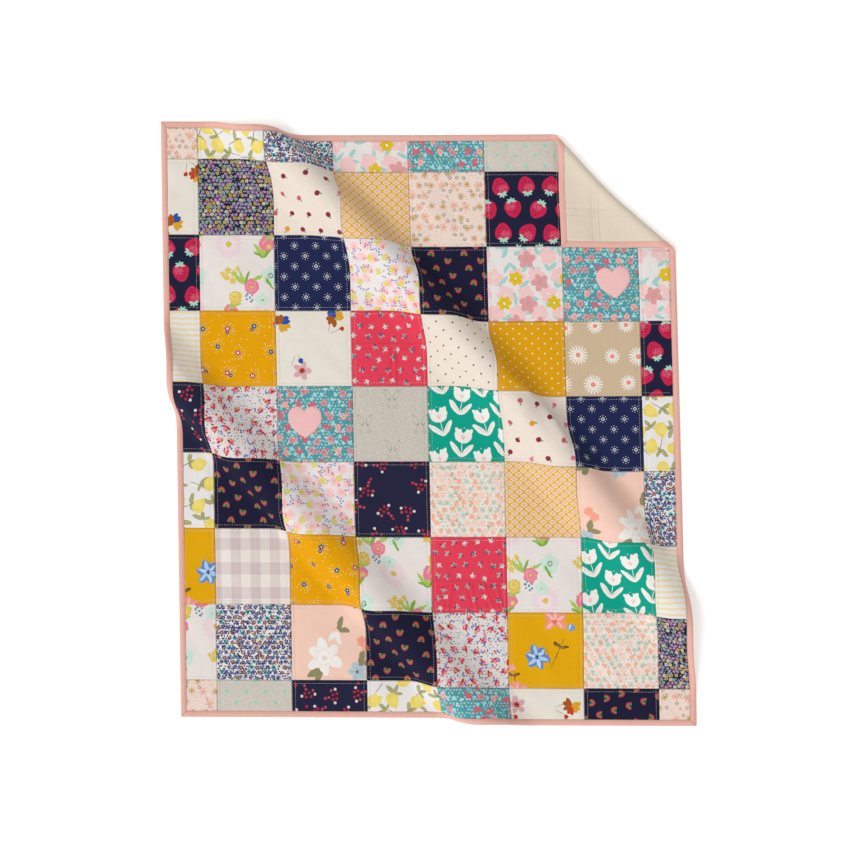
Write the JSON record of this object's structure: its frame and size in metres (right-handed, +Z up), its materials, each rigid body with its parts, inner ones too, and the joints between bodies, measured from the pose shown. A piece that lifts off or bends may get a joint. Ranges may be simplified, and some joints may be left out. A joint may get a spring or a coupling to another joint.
{
  "type": "patchwork quilt",
  "caption": "Cotton patchwork baby quilt lying open with two soft ridges across it and one corner turned down to show its plain backing.",
  "frame": {"origin": "middle of the quilt's footprint as it lies, on the surface that it lies on", "axes": "+X across the quilt towards its right edge, +Y along it towards its top edge, +Z up out of the surface"},
  "size_m": [0.8982, 1.0134, 0.0471],
  "materials": {
    "pieced_cotton": "matte printed plain-weave cotton",
    "backing_cotton": "matte plain-weave cotton",
    "binding_cotton": "matte plain-weave cotton, folded",
    "applique_cotton": "matte plain-weave cotton"
  },
  "bodies": {
    "root": {"patchwork_top": "pieced_cotton", "quilt_backing": "backing_cotton", "binding_top": "binding_cotton", "binding_right": "binding_cotton", "binding_bottom": "binding_cotton", "binding_left": "binding_cotton", "heart_upper": "applique_cotton", "heart_lower": "applique_cotton"}
  },
  "joints": []
}
